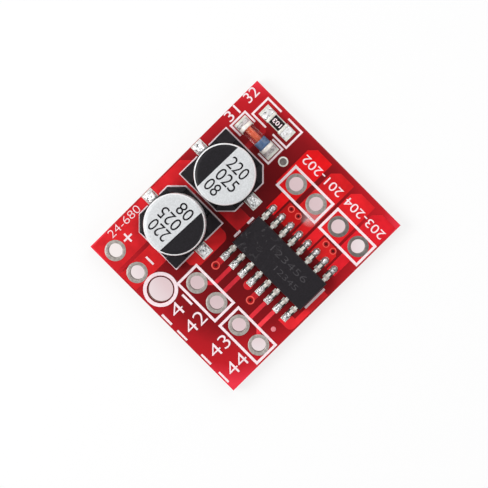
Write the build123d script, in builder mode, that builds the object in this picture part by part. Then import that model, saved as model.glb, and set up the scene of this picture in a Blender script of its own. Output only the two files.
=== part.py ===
"""DC motor driver module, in millimetres.

A small red circuit board carries a sixteen-lead bridge driver chip, two surface-mount
aluminium capacitors, a glass diode and a chip resistor. Ten plated holes take the wires:
two for the supply, four for the control inputs and four for the two motors.

The origin is the middle of the board's underside. +X runs from the input holes to the
motor holes, +Y from the chip to the capacitors, and +Z up out of the component side.
"""

import os

from build123d import *

os.makedirs("parts", exist_ok=True)

# Board and its layers
board_thickness = 1.6
copper_height = 0.04
land_height = 0.06
print_height = 0.02
wire_hole_diameter = 1.5
ring_width = 0.35
mounting_hole_diameter = 2.6
test_point_diameter = 1.08

# Sides of the small flat discs and of the printed ring, few enough to keep the mesh light
disc_sides = 16
print_sides = 24

# Aluminium capacitor: can, base moulding and terminals
can_diameter = 6.3
capacitor_height = 5.4
can_rim = 0.45
can_rim_step = 0.13
crimp_height = 0.95
crimp_width = 0.6
crimp_depth = 0.15
base_margin = 0.15
base_floor = 0.5
base_wall_height = 1.25
base_corner_chamfer = 1.3
base_window = 3.6
can_seat_clearance = 0.04
terminal_width = 0.65
terminal_thickness = 0.25
terminal_inner_end = 1.0
terminal_protrusion = 0.35
capacitor_land_width = 1.34
capacitor_land_inner_end = 1.3
capacitor_land_rear_toe = 1.2
capacitor_land_front_toe = 1.4

# Driver chip
chip_end_margin = 0.505
chip_width = 3.9
chip_height = 1.45
chip_standoff = 0.12
chip_draft = 7.0
lead_count = 8
lead_pitch = 1.27
lead_width = 0.4
lead_thickness = 0.2
lead_span = 6.0
lead_foot = 0.6
lead_bend = 0.12
lead_root_depth = 0.5
chip_land_width = 0.68
chip_land_toe = 0.92
chip_land_heel = 0.25
chip_land_trim = 0.2
index_mark_diameter = 0.8
index_mark_depth = 0.05
index_mark_inset = 1.05

# Glass diode
diode_length = 3.5
diode_diameter = 1.4
diode_cap_length = 0.42
diode_cap_margin = 0.03
glass_wall = 0.4
diode_die_size = 0.4
diode_die_thickness = 0.22
diode_band_length = 0.92
band_thickness = 0.02
diode_land_width = 1.6
diode_land_length = 1.3
diode_land_spacing = 3.72

# Chip resistor
resistor_length = 2.0
resistor_width = 1.25
resistor_height = 0.5
termination_length = 0.32
termination_thickness = 0.05
glaze_side_margin = 0.1
glaze_thickness = 0.06
resistor_land_width = 1.4
resistor_land_length = 1.3
resistor_land_spacing = 2.76

# Solder
solder_margin = 0.04
solder_rise = 1.6
solder_toe_wrap = 0.08
solder_cap_diameter = 0.82
solder_cap_slope = 30.0
solder_cap_sides = 12
solder_film = 0.03
diode_solder_toe = 0.5
resistor_solder_toe = 0.75

# Spacing of the rear row, from the left edge to the right edge
supply_hole_inset = 1.55
supply_capacitor_gap = 2.1
capacitor_gap = 0.59
capacitor_diode_gap = 0.89
diode_resistor_gap = 1.225
resistor_edge_gap = 0.995

# Spacing from the front edge to the rear edge
chip_edge_gap = 1.11
chip_capacitor_gap = 0.74
capacitor_edge_gap = 0.05
diode_shift = 0.43

# Spacing of the holes
input_column_inset = 5.18
input_chip_gap = 2.5
chip_motor_gap = 1.93
motor_edge_gap = 3.55
front_row_inset = 1.535
wire_pitch = 2.89
pair_spacing = 6.16
supply_row_inset = 2.1
supply_pitch = 3.2
mounting_hole_inset = 2.04
mounting_hole_pitch = 2.95
test_point_shift = 0.19
test_point_gap = 0.645

# Copper under the mask
edge_setback = 0.15
field_edge_gap = 0.6
field_gap = 0.3
wide_field_gap = 0.56
field_reach = 1.33
field_chamfer = 0.75
field_rear_reach = 1.66
trace_width = 0.45
motor_trace_width = 1.1
pour_gap = 0.4
pour_front_shift = 0.78
pour_chamfer = 1.0
strip_width = 1.9
ground_pour_depth = 2.38
ground_lobe_width = 5.0
ground_lobe_slant = 0.8
supply_stub_length = 0.94
spare_pin_copper_diameter = 1.0
ground_block_length = 1.27
ground_block_margin = 0.5
ground_block_chamfer = 0.6
corner_pour_width = 1.3
corner_pour_tail = 0.65
corner_pour_reach = 1.2
diode_trace_width = 0.6

# Legend printed on the board
box_line = 0.27
box_side_clearance = 0.115
box_end_clearance = 0.04
box_shift_x = 0.1
box_shift_y = 0.05
hole_print_inner = 2.9
hole_print_outer = 3.62
outline_line = 0.16
outline_gap = 0.06
outline_land_gap = 0.16
bracket_line = 0.21
diode_bracket_margin = 0.33
diode_bracket_opening = 2.55
resistor_bracket_margin = 0.54
resistor_bracket_opening = 1.0
chip_tick_line = 0.26
chip_tick_length = 0.88
chip_tick_spacing = 1.93
chip_tick_gap = 0.11

# Heights and overall sizes that follow
board_top = board_thickness
seat = board_top + land_height
legend_height = copper_height + print_height
ring_radius = wire_hole_diameter / 2 + ring_width
base_size = can_diameter + 2 * base_margin
terminal_reach = base_size / 2 + terminal_protrusion
capacitor_rear_reach = base_size / 2 + capacitor_land_rear_toe
capacitor_front_reach = base_size / 2 + capacitor_land_front_toe
chip_length = (lead_count - 1) * lead_pitch + 2 * chip_end_margin
chip_land_reach = lead_span / 2 + chip_land_toe
rear_row_length = (
    supply_hole_inset + ring_radius + supply_capacitor_gap + base_size + capacitor_gap
    + base_size + capacitor_diode_gap + diode_diameter + diode_resistor_gap
    + resistor_width + resistor_edge_gap
)
front_row_length = (
    input_column_inset + ring_radius + input_chip_gap + 2 * chip_land_reach
    + chip_motor_gap + 2 * ring_radius + motor_edge_gap
)
board_length = max(rear_row_length, front_row_length)
board_width = (
    chip_edge_gap + chip_length + chip_capacitor_gap + capacitor_front_reach
    + capacitor_rear_reach + capacitor_edge_gap
)
left = -board_length / 2
right = board_length / 2
front = -board_width / 2
rear = board_width / 2

# Places of the parts and the holes
supply_x = left + supply_hole_inset
left_capacitor_x = supply_x + ring_radius + supply_capacitor_gap + base_size / 2
right_capacitor_x = left_capacitor_x + base_size + capacitor_gap
capacitor_y = rear - capacitor_edge_gap - capacitor_rear_reach
diode_x = right_capacitor_x + base_size / 2 + capacitor_diode_gap + diode_diameter / 2
diode_y = capacitor_y + diode_shift
resistor_x = diode_x + diode_diameter / 2 + diode_resistor_gap + resistor_width / 2
resistor_y = capacitor_y
input_x = left + input_column_inset
chip_left = input_x + ring_radius + input_chip_gap
chip_x = chip_left + chip_land_reach
chip_right = chip_x + chip_land_reach
chip_y = front + chip_edge_gap + chip_length / 2
motor_x = chip_right + chip_motor_gap + ring_radius
row_y = [
    front + front_row_inset + pair + step
    for pair in (0, pair_spacing)
    for step in (0, wire_pitch)
]
lead_y = [chip_y + (n - (lead_count - 1) / 2) * lead_pitch for n in range(lead_count)]
plus_y = rear - supply_row_inset
minus_y = plus_y - supply_pitch
wire_places = [(supply_x, plus_y), (supply_x, minus_y)]
wire_places += [(x, y) for x in (input_x, motor_x) for y in row_y]
mounting_hole = (left + mounting_hole_inset, minus_y - mounting_hole_pitch)
diode_front = diode_y - (diode_land_spacing + diode_land_length) / 2
test_point = (diode_x + test_point_shift, diode_front - test_point_gap - test_point_diameter / 2)

# The left capacitor's plus side faces the rear edge, the right one's faces the chip
capacitors = [("left", left_capacitor_x, 1), ("right", right_capacitor_x, -1)]
capacitor_land_ends = [(1, capacitor_rear_reach), (-1, capacitor_front_reach)]


def write(piece, name):
    """Label one finished piece and write it to its own file."""
    piece.label = name
    export_step(piece, f"parts/{name}.step")


def rectangle(x_low, x_high, y_low, y_high):
    """The outline of a rectangle between two corners."""
    with BuildSketch(mode=Mode.PRIVATE) as outline:
        with Locations(((x_low + x_high) / 2, (y_low + y_high) / 2)):
            Rectangle(x_high - x_low, y_high - y_low)
    return outline.sketch


def capacitor_plane(x, facing, height):
    """A level plane at a capacitor's centre, with local +Y towards its plus side."""
    return Plane(origin=(x, capacitor_y, height), x_dir=(facing, 0, 0), z_dir=(0, 0, 1))


# Board: glass laminate under a red mask, with ten plated holes in tinned rings
with BuildPart() as circuit_board:
    with BuildSketch(Plane.XY):
        Rectangle(board_length, board_width)
        with Locations(mounting_hole):
            Circle(mounting_hole_diameter / 2, mode=Mode.SUBTRACT)
    extrude(amount=board_thickness)
    with BuildSketch(Plane.XY.offset(board_top)):
        with Locations(*wire_places):
            RegularPolygon(ring_radius, side_count=disc_sides)
    extrude(amount=land_height)
    with BuildSketch(Plane.XY):
        with Locations(*wire_places):
            Circle(wire_hole_diameter / 2)
    extrude(amount=seat, mode=Mode.SUBTRACT)
write(circuit_board.part, "circuit_board")

with BuildPart() as test_pad:
    with BuildSketch(Plane.XY.offset(board_top)):
        with Locations(test_point):
            RegularPolygon(test_point_diameter / 2, side_count=disc_sides)
    extrude(amount=land_height)
write(test_pad.part, "test_pad")

# Lands for the surface-mounted parts: the chip's are square on its left and have
# trimmed ends on its right
land_inner = lead_span / 2 - lead_foot - chip_land_heel
with BuildPart() as chip_lands:
    with BuildSketch(Plane.XY.offset(board_top)) as land_outlines:
        for y in lead_y:
            low, high = y - chip_land_width / 2, y + chip_land_width / 2
            add(rectangle(chip_left, chip_x - land_inner, low, high))
            add(rectangle(chip_x + land_inner, chip_right, low, high))
        chamfer(land_outlines.vertices().group_by(Axis.X)[-1], chip_land_trim)
    extrude(amount=land_height)
write(chip_lands.part, "chip_lands")

with BuildPart() as capacitor_lands:
    with BuildSketch(Plane.XY.offset(board_top)):
        for _, x, _ in capacitors:
            for side, reach in capacitor_land_ends:
                with Locations((x, capacitor_y + side * (capacitor_land_inner_end + reach) / 2)):
                    Rectangle(capacitor_land_width, reach - capacitor_land_inner_end)
    extrude(amount=land_height)
write(capacitor_lands.part, "capacitor_lands")


def land_pair(name, x, y, width, length, spacing):
    """Two equal lands, one behind the other."""
    with BuildPart() as pair:
        with BuildSketch(Plane.XY.offset(board_top)):
            with Locations((x, y)):
                with GridLocations(0, spacing, 1, 2):
                    Rectangle(width, length)
        extrude(amount=land_height)
    write(pair.part, name)
    return pair.part


diode_lands = land_pair(
    "diode_lands", diode_x, diode_y, diode_land_width, diode_land_length, diode_land_spacing
)
resistor_lands = land_pair(
    "resistor_lands", resistor_x, resistor_y,
    resistor_land_width, resistor_land_length, resistor_land_spacing,
)
lands = [chip_lands.part, capacitor_lands.part, diode_lands, resistor_lands, test_pad.part]
copper = []


def copper_piece(name, outline):
    """One field of copper under the mask, cut round the rings and lands that it joins."""
    with BuildPart() as field:
        with BuildSketch(Plane.XY.offset(board_top)):
            add(outline)
            with Locations(*wire_places):
                RegularPolygon(ring_radius, side_count=disc_sides, mode=Mode.SUBTRACT)
        extrude(amount=copper_height)
        for land in lands:
            add(land, mode=Mode.SUBTRACT)
    write(field.part, name)
    copper.append(field.part)


# Supply pour: along the rear edge, and down between the capacitors to the chip
pour_front = capacitor_y + pour_front_shift
strip_left = right_capacitor_x - base_size / 2
strip_right = strip_left + strip_width
strip_front = chip_y + chip_length / 2 + chip_tick_gap + chip_tick_line
with BuildSketch() as supply_outline:
    add(rectangle(left + edge_setback, strip_right, pour_front, rear - edge_setback))
    chamfer(supply_outline.vertices().sort_by(Axis.Y)[-2:].sort_by(Axis.X)[-1:], pour_chamfer)
    add(rectangle(strip_left, strip_right, strip_front, pour_front))
copper_piece("supply_pour", supply_outline.sketch)

# Ground pour: under the left capacitor, with a lobe that holds its front land
ground_rear = pour_front - pour_gap
ground_front = ground_rear - ground_pour_depth
lobe_right = strip_left - capacitor_gap - ground_lobe_slant / 2
lobe_left = lobe_right - ground_lobe_width
lobe_front = capacitor_y - capacitor_front_reach - edge_setback
with BuildSketch() as ground_outline:
    add(rectangle(left + edge_setback, lobe_right, ground_front, ground_rear))
    add(rectangle(lobe_left, lobe_right, lobe_front, ground_front))
    chamfer(ground_outline.vertices().sort_by(Axis.Y)[:2].sort_by(Axis.X)[:1], ground_lobe_slant)
    fillet(ground_outline.vertices().group_by(Axis.X)[-1].sort_by(Axis.Y)[:1], ground_lobe_slant)
copper_piece("ground_pour", ground_outline.sketch)

# Input traces: straight out of a chip land, then at 45 degrees into the hole's ring
input_pins = (lead_y[6], lead_y[5], lead_y[2], lead_y[1])
for number, (ring_row, pin_row) in enumerate(zip(reversed(row_y), input_pins), start=1):
    with BuildSketch() as trace_outline:
        with BuildLine():
            turn_x = input_x + abs(pin_row - ring_row)
            Polyline((chip_left + chip_land_toe, pin_row), (turn_x, pin_row), (input_x, ring_row))
        trace(line_width=trace_width)
    copper_piece(f"input_trace_{number}", trace_outline.sketch)

# Supply stubs: from two of the chip's pins to the vias beside them
with BuildSketch() as stub_outline:
    for pin_row in (lead_y[3], lead_y[7]):
        low, high = pin_row - chip_land_width / 2, pin_row + chip_land_width / 2
        add(rectangle(chip_left - supply_stub_length, chip_left, low, high))
        with Locations((chip_left - supply_stub_length, pin_row)):
            RegularPolygon(chip_land_width / 2, side_count=disc_sides)
copper_piece("chip_supply_stubs", stub_outline.sketch)

# Copper round the end of the unused pin's land
with BuildSketch() as spare_outline:
    with Locations((chip_left, lead_y[4])):
        RegularPolygon(spare_pin_copper_diameter / 2, side_count=disc_sides)
copper_piece("spare_pin_copper", spare_outline.sketch)

# Corner pour: from the last pin, round the chip's corner and along the front edge
corner_left = chip_left - corner_pour_tail / 2
corner_front = front + edge_setback
with BuildSketch() as corner_outline:
    add(rectangle(corner_left, corner_left + corner_pour_width, corner_front,
                  lead_y[0] + chip_land_width / 2))
    add(rectangle(corner_left, chip_x + corner_pour_reach, corner_front,
                  corner_front + corner_pour_tail))
    fillet(corner_outline.vertices().group_by(Axis.X)[0].sort_by(Axis.Y)[:1], corner_pour_tail)
copper_piece("corner_pour", corner_outline.sketch)

# Motor fields: one round each output hole, joined to its pin by a wide trace
row_middles = [(low + high) / 2 for low, high in zip(row_y, row_y[1:])]
field_edges = [
    (front + edge_setback, row_middles[0] - field_gap / 2),
    (row_middles[0] + field_gap / 2, row_middles[1] - field_gap / 2),
    (row_middles[1] + field_gap / 2, row_middles[2] - wide_field_gap / 2),
    (row_middles[2] + wide_field_gap / 2, row_y[3] + field_rear_reach),
]
motor_pins = (lead_y[0], lead_y[3], lead_y[4], lead_y[7])
for number, ((low, high), pin_row) in enumerate(zip(field_edges, motor_pins), start=1):
    with BuildSketch() as field_outline:
        add(rectangle(motor_x - field_reach, right - field_edge_gap, low, high))
        right_corners = field_outline.vertices().group_by(Axis.X)[-1].sort_by(Axis.Y)
        chamfer(right_corners[-1:], field_chamfer)
        trace_low = max(low, pin_row - motor_trace_width / 2)
        trace_high = min(high, pin_row + motor_trace_width / 2)
        add(rectangle(chip_right - chip_land_toe, motor_x, trace_low, trace_high))
    copper_piece(f"motor_field_{number}", field_outline.sketch)

# Ground blocks: each joins two of the chip's pins on the motor side
for name, pins in (("ground_block_front", lead_y[1:3]), ("ground_block_rear", lead_y[5:7])):
    with BuildSketch() as block_outline:
        add(rectangle(chip_right - chip_land_toe, chip_right + ground_block_length,
                      min(pins) - ground_block_margin, max(pins) + ground_block_margin))
        right_corners = block_outline.vertices().group_by(Axis.X)[-1].sort_by(Axis.Y)
        chamfer(right_corners[:1], ground_block_chamfer)
    copper_piece(name, block_outline.sketch)

# Diode trace: from the right capacitor, under the diode, to the resistor's rear land
resistor_land_y = resistor_y + resistor_land_spacing / 2
trace_rise = resistor_land_y - diode_y
trace_end = resistor_x - resistor_land_width / 2
with BuildSketch() as diode_trace_outline:
    with BuildLine():
        Polyline(
            (right_capacitor_x + base_size / 2, diode_y),
            (trace_end - trace_rise, diode_y),
            (trace_end, resistor_land_y),
            (resistor_x, resistor_land_y),
        )
    trace(line_width=diode_trace_width)
copper_piece("diode_trace", diode_trace_outline.sketch)


# Legend: white ink over mask and copper
def hole_pair_box(x, y):
    """A printed box round a pair of wire holes, a little off their centre."""
    inner_x = ring_radius + box_side_clearance
    inner_y = wire_pitch / 2 + ring_radius + box_end_clearance
    with Locations((x - box_shift_x, y + box_shift_y)):
        Rectangle(2 * (inner_x + box_line), 2 * (inner_y + box_line))
        Rectangle(2 * inner_x, 2 * inner_y, mode=Mode.SUBTRACT)


def base_outline(grow):
    """A capacitor base from above, grown all round, with its two plus corners cut off."""
    with BuildSketch(mode=Mode.PRIVATE) as outline:
        Rectangle(base_size + 2 * grow, base_size + 2 * grow)
        chamfer(outline.vertices().group_by(Axis.Y)[-1], base_corner_chamfer + grow / 2)
    return outline.sketch


def bracket_pair(x, y, width, length, opening):
    """Two printed brackets that face each other round a two-terminal part."""
    with Locations((x, y)):
        Rectangle(width, length)
        Rectangle(width - 2 * bracket_line, length - 2 * bracket_line, mode=Mode.SUBTRACT)
        Rectangle(width, opening, mode=Mode.SUBTRACT)


with BuildPart() as legend_print:
    with BuildSketch(Plane.XY.offset(board_top)):
        for x in (input_x, motor_x):
            for y in (row_middles[0], row_middles[2]):
                hole_pair_box(x, y)
    with BuildSketch(Plane.XY.offset(board_top)):
        with Locations(mounting_hole):
            RegularPolygon(hole_print_outer / 2, side_count=print_sides)
            RegularPolygon(hole_print_inner / 2, side_count=print_sides, mode=Mode.SUBTRACT)
        tick_reach = chip_length / 2 + chip_tick_gap + chip_tick_line / 2
        with Locations((chip_x, chip_y + tick_reach)):
            with GridLocations(chip_tick_spacing, 0, 2, 1):
                Rectangle(chip_tick_length, chip_tick_line)
        with Locations((chip_x, chip_y - tick_reach)):
            Rectangle(chip_tick_spacing + chip_tick_length, chip_tick_line)
    with BuildSketch(Plane.XY.offset(board_top)):
        bracket_pair(
            diode_x, diode_y, diode_land_width + 2 * diode_bracket_margin,
            diode_land_spacing + diode_land_length + 2 * diode_bracket_margin,
            diode_bracket_opening,
        )
    with BuildSketch(Plane.XY.offset(board_top)):
        bracket_pair(
            resistor_x, resistor_y, resistor_land_width + 2 * resistor_bracket_margin,
            resistor_land_spacing + resistor_land_length + 2 * resistor_bracket_margin,
            resistor_bracket_opening,
        )
    for _, x, facing in capacitors:
        with BuildSketch(capacitor_plane(x, facing, board_top)):
            add(base_outline(outline_gap + outline_line / 2))
            add(base_outline(outline_gap - outline_line / 2), mode=Mode.SUBTRACT)
            Rectangle(capacitor_land_width + 2 * outline_land_gap, 2 * base_size, mode=Mode.SUBTRACT)
    extrude(amount=legend_height)
    for piece in (*copper, *lands, circuit_board.part):
        add(piece, mode=Mode.SUBTRACT)
write(legend_print.part, "legend_print")


def mound(centre, outward, foot, crown, height):
    """Solder on a land, narrowing from its foot to its crown.

    The foot and the crown each give their near end, their far end and their width,
    measured from the part's centre in the outward direction.
    """
    with BuildPart() as heap:
        for level, (near, far, width) in ((0, foot), (height, crown)):
            with BuildSketch(Plane(
                origin=(*centre, seat + level), x_dir=(*outward, 0), z_dir=(0, 0, 1)
            )):
                with Locations(((near + far) / 2, 0)):
                    Rectangle(far - near, width)
        loft()
    return heap.part


# Capacitors
can_radius = can_diameter / 2
can_bottom = seat + base_floor
can_top = seat + capacitor_height
crimp_middle = can_bottom + crimp_height
for name, x, facing in capacitors:
    with BuildPart() as terminals:
        with BuildSketch(capacitor_plane(x, facing, seat)):
            with GridLocations(0, terminal_inner_end + terminal_reach, 1, 2):
                Rectangle(terminal_width, terminal_reach - terminal_inner_end)
        extrude(amount=terminal_thickness)
    write(terminals.part, f"{name}_capacitor_terminals")

    # Base moulding: a floor grooved for the terminals, and four corner walls round the can
    with BuildPart() as base:
        with BuildSketch(capacitor_plane(x, facing, seat)):
            add(base_outline(0))
        extrude(amount=base_wall_height)
        with BuildSketch(capacitor_plane(x, facing, can_bottom)):
            Circle(can_radius + can_seat_clearance)
            Rectangle(base_size, base_window)
            Rectangle(base_window, base_size)
        extrude(amount=base_wall_height - base_floor, mode=Mode.SUBTRACT)
        add(terminals.part, mode=Mode.SUBTRACT)
    write(base.part, f"{name}_capacitor_base")

    # Can: a sealed drawn can, crimped near its foot and rounded at its rim in two steps
    with BuildPart() as can:
        with BuildSketch(Plane(origin=(x, capacitor_y, 0), x_dir=(1, 0, 0), z_dir=(0, -1, 0))):
            with BuildLine():
                Polyline(
                    (0, can_bottom),
                    (can_radius, can_bottom),
                    (can_radius, crimp_middle - crimp_width / 2),
                    (can_radius - crimp_depth, crimp_middle),
                    (can_radius, crimp_middle + crimp_width / 2),
                    (can_radius, can_top - can_rim),
                    (can_radius - can_rim_step, can_top - can_rim_step),
                    (can_radius - can_rim, can_top),
                    (0, can_top),
                    close=True,
                )
            make_face()
        revolve(axis=Axis((x, capacitor_y, 0), (0, 0, 1)))
    write(can.part, f"{name}_capacitor_can")

    with BuildPart() as solder:
        near = base_size / 2 + solder_margin
        for side, reach in capacitor_land_ends:
            add(mound(
                (x, capacitor_y), (0, side),
                (near, reach - solder_margin, capacitor_land_width - 2 * solder_margin),
                (near, terminal_reach, terminal_width), terminal_thickness * solder_rise,
            ))
        add(terminals.part, mode=Mode.SUBTRACT)
    write(solder.part, f"{name}_capacitor_solder")

# Chip: sixteen gull-wing leads, held in the moulded body
lead_middle = chip_standoff + chip_height / 2
shoulder = lead_span / 2 - lead_foot - lead_thickness
with BuildSketch(mode=Mode.PRIVATE) as lead_outline:
    with BuildLine():
        Polyline(
            (chip_width / 2 - lead_root_depth, lead_middle),
            (shoulder - lead_bend, lead_middle),
            (shoulder, lead_middle - lead_bend),
            (shoulder + lead_thickness, lead_thickness / 2 + lead_bend),
            (shoulder + lead_thickness + lead_bend, lead_thickness / 2),
            (lead_span / 2, lead_thickness / 2),
        )
    trace(line_width=lead_thickness)
leads = {}
for name, outward in (("left", -1), ("right", 1)):
    with BuildPart() as lead_row:
        for y in lead_y:
            with BuildSketch(Plane(
                origin=(chip_x, y, seat), x_dir=(outward, 0, 0), z_dir=(0, -outward, 0)
            )):
                add(lead_outline.sketch)
        extrude(amount=lead_width / 2, both=True)
    write(lead_row.part, f"chip_leads_{name}")
    leads[name] = lead_row.part

with BuildPart() as chip_body:
    for direction in (1, -1):
        with BuildSketch(Plane(
            origin=(chip_x, chip_y, seat + lead_middle), x_dir=(1, 0, 0), z_dir=(0, 0, direction)
        )):
            Rectangle(chip_width, chip_length)
        extrude(amount=chip_height / 2, taper=chip_draft)
    with BuildSketch(Plane.XY.offset(seat + chip_standoff + chip_height)):
        with Locations((chip_x, chip_y + chip_length / 2 - index_mark_inset)):
            RegularPolygon(index_mark_diameter / 2, side_count=disc_sides)
    extrude(amount=-index_mark_depth, mode=Mode.SUBTRACT)
    for lead_row in leads.values():
        add(lead_row, mode=Mode.SUBTRACT)
write(chip_body.part, "chip_body")

# Chip solder: wedges at the left toes, and round-ended heaps at the right toes
toe_height = lead_thickness * solder_rise
toe_near = lead_span / 2 - solder_toe_wrap
toe_width = chip_land_width - 2 * solder_margin
with BuildPart() as left_solder:
    for y in lead_y:
        add(mound(
            (chip_x, y), (-1, 0), (toe_near, chip_land_reach - solder_margin, toe_width),
            (toe_near, lead_span / 2, lead_width), toe_height,
        ))
    add(leads["left"], mode=Mode.SUBTRACT)
write(left_solder.part, "chip_solder_left")

cap_x = chip_right - solder_cap_diameter / 2
with BuildPart() as right_solder:
    with BuildSketch(Plane.XY.offset(seat)):
        with Locations(*[(cap_x, y) for y in lead_y]):
            RegularPolygon(solder_cap_diameter / 2, side_count=solder_cap_sides)
        for y in lead_y:
            add(rectangle(chip_x + toe_near, cap_x, y - toe_width / 2, y + toe_width / 2))
    extrude(amount=toe_height, taper=solder_cap_slope)
    add(leads["right"], mode=Mode.SUBTRACT)
write(right_solder.part, "chip_solder_right")


# Diode: a glass tube between two metal ends whose plugs hold the die
glass_radius = diode_diameter / 2
bore_radius = glass_radius - glass_wall
end_radius = glass_radius + diode_cap_margin
diode_axis = seat + solder_film + end_radius
diode_half = diode_length / 2
glass_half = diode_half - diode_cap_length
die_middle = diode_band_length / 2 - glass_half


def diode_plane(along):
    """An upright plane across the diode's axis, at a distance from its middle."""
    return Plane(origin=(diode_x, diode_y + along, diode_axis), x_dir=(1, 0, 0), z_dir=(0, 1, 0))


with BuildPart() as diode_glass:
    with BuildSketch(diode_plane(-glass_half)):
        Circle(glass_radius)
        Circle(bore_radius, mode=Mode.SUBTRACT)
    extrude(amount=2 * glass_half)
write(diode_glass.part, "diode_glass")

with BuildPart() as diode_band:
    with BuildSketch(diode_plane(-glass_half)):
        Circle(glass_radius + band_thickness)
        Circle(glass_radius, mode=Mode.SUBTRACT)
    extrude(amount=diode_band_length)
write(diode_band.part, "diode_band")

with BuildPart() as diode_die:
    with BuildSketch(diode_plane(die_middle - diode_die_thickness / 2)):
        Rectangle(diode_die_size, diode_die_size)
    extrude(amount=diode_die_thickness)
write(diode_die.part, "diode_die")

with BuildPart() as diode_plugs:
    for side in (-1, 1):
        with BuildSketch(diode_plane(side * glass_half)):
            Circle(end_radius)
        extrude(amount=side * diode_cap_length)
        with BuildSketch(diode_plane(side * glass_half)):
            Circle(bore_radius)
        extrude(amount=die_middle + side * (diode_die_thickness / 2 - glass_half))
write(diode_plugs.part, "diode_plugs")

with BuildPart() as diode_solder:
    for side in (-1, 1):
        add(mound(
            (diode_x, diode_y), (0, side),
            (glass_half, diode_half + diode_solder_toe, diode_land_width - 2 * solder_margin),
            (glass_half, diode_half + solder_margin, diode_diameter / 2),
            diode_axis - seat,
        ))
    add(diode_plugs.part, mode=Mode.SUBTRACT)
write(diode_solder.part, "diode_solder")

# Resistor: a ceramic chip with a metal cap round each end and a glaze on its back
ceramic_bottom = seat + termination_thickness
ceramic_height = resistor_height - 2 * termination_thickness
with BuildPart() as resistor_chip:
    with BuildSketch(Plane.XY.offset(ceramic_bottom)):
        with Locations((resistor_x, resistor_y)):
            Rectangle(resistor_width, resistor_length - 2 * termination_thickness)
    extrude(amount=ceramic_height)
write(resistor_chip.part, "resistor_chip")

with BuildPart() as resistor_ends:
    with BuildSketch(Plane.XY.offset(seat)):
        with Locations((resistor_x, resistor_y)):
            with GridLocations(0, resistor_length - termination_length, 1, 2):
                Rectangle(resistor_width, termination_length)
    extrude(amount=resistor_height)
    add(resistor_chip.part, mode=Mode.SUBTRACT)
write(resistor_ends.part, "resistor_ends")

with BuildPart() as resistor_glaze:
    with BuildSketch(Plane.XY.offset(ceramic_bottom + ceramic_height)):
        with Locations((resistor_x, resistor_y)):
            Rectangle(resistor_width - 2 * glaze_side_margin,
                      resistor_length - 2 * termination_length)
    extrude(amount=glaze_thickness)
write(resistor_glaze.part, "resistor_glaze")

with BuildPart() as resistor_solder:
    for side in (-1, 1):
        add(mound(
            (resistor_x, resistor_y), (0, side),
            (resistor_length / 2, resistor_length / 2 + resistor_solder_toe,
             resistor_land_width - 2 * solder_margin),
            (resistor_length / 2, resistor_length / 2 + solder_margin, resistor_width),
            resistor_height - 2 * termination_thickness,
        ))
write(resistor_solder.part, "resistor_solder")
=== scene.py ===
"""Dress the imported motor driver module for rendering, in metres, in the frame of its CAD model."""

import math

import bmesh
import bpy
from bpy.props import FloatProperty, FloatVectorProperty, PointerProperty
from bpy.types import Operator, Panel, PropertyGroup
from mathutils import Matrix, Vector


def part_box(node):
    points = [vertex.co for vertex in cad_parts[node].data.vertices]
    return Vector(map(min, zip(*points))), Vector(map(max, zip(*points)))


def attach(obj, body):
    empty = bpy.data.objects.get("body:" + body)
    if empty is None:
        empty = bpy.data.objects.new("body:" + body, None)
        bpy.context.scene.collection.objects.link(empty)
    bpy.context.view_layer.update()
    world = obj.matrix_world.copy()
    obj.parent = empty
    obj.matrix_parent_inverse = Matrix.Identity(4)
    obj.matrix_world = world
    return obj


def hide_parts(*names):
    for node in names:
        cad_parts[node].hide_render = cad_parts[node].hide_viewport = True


bl_info = {
    "name": "Motor driver module",
    "version": (1, 0, 0),
    "blender": (4, 5, 0),
    "location": "View3D > Sidebar > Module",
    "description": "Finishes and printed details for a small motor driver board",
    "category": "Object",
}

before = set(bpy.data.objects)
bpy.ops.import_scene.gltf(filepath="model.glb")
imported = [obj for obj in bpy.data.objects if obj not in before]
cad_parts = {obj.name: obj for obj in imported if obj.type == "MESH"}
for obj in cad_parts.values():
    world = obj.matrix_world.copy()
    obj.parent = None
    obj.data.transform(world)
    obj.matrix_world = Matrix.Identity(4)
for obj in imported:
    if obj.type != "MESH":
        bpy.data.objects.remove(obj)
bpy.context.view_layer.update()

MM = 0.001


def mm(*values):
    """Millimetres as metres."""
    return tuple(value * MM for value in values)


BOARD_TOP = 1.6 * MM
RING_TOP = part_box("circuit_board")[1].z
WIRE_HOLE_RADIUS = 0.75 * MM
RING_RADIUS = 1.1 * MM
WIRE_ROWS = mm(-8.965, -6.075, -2.805, 0.085)
INPUT_COLUMN, MOTOR_COLUMN = mm(-6.97, 7.5)
SUPPLY_HOLES = [mm(-10.6, 8.4), mm(-10.6, 5.2)]
MOUNTING_HOLE = mm(-10.11, 2.25)
CHIP_MIDDLE = mm(0.55, -4.44, 0.0)
LEAD_PITCH = 1.27 * MM
HALF_BOARD = mm(12.15, 10.5, 0.8)

# The board is folded along these lines until its wire holes lie over each other, and so are
# the supply holes, so that one distance reaches the nearest hole
WIRE_HOLE_FOLDS = (mm(0.265, -4.44, 0.0), mm(7.235, 3.08, 0.0), mm(0.0, 1.445, 0.0))
SUPPLY_HOLE_FOLDS = (mm(-10.6, 6.8, 0.0), mm(0.0, 1.6, 0.0))

# An edge sharper than the first is rounded, and one sharper than the second is shaded sharp
ROUNDED_EDGE = math.radians(25)
CRISP_EDGE = math.radians(50)


def linear(code):
    """A hex colour as linear red, green, blue and alpha."""
    parts = [int(code[i:i + 2], 16) / 255 for i in (1, 3, 5)]
    light = (c / 12.92 if c <= 0.04045 else ((c + 0.055) / 1.055) ** 2.4 for c in parts)
    return (*light, 1.0)


def colour(name, description, code):
    """A colour setting, with its default given as a hex value."""
    return FloatVectorProperty(
        name=name, description=description, subtype="COLOR", size=4, min=0, max=1,
        default=linear(code),
    )


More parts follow.
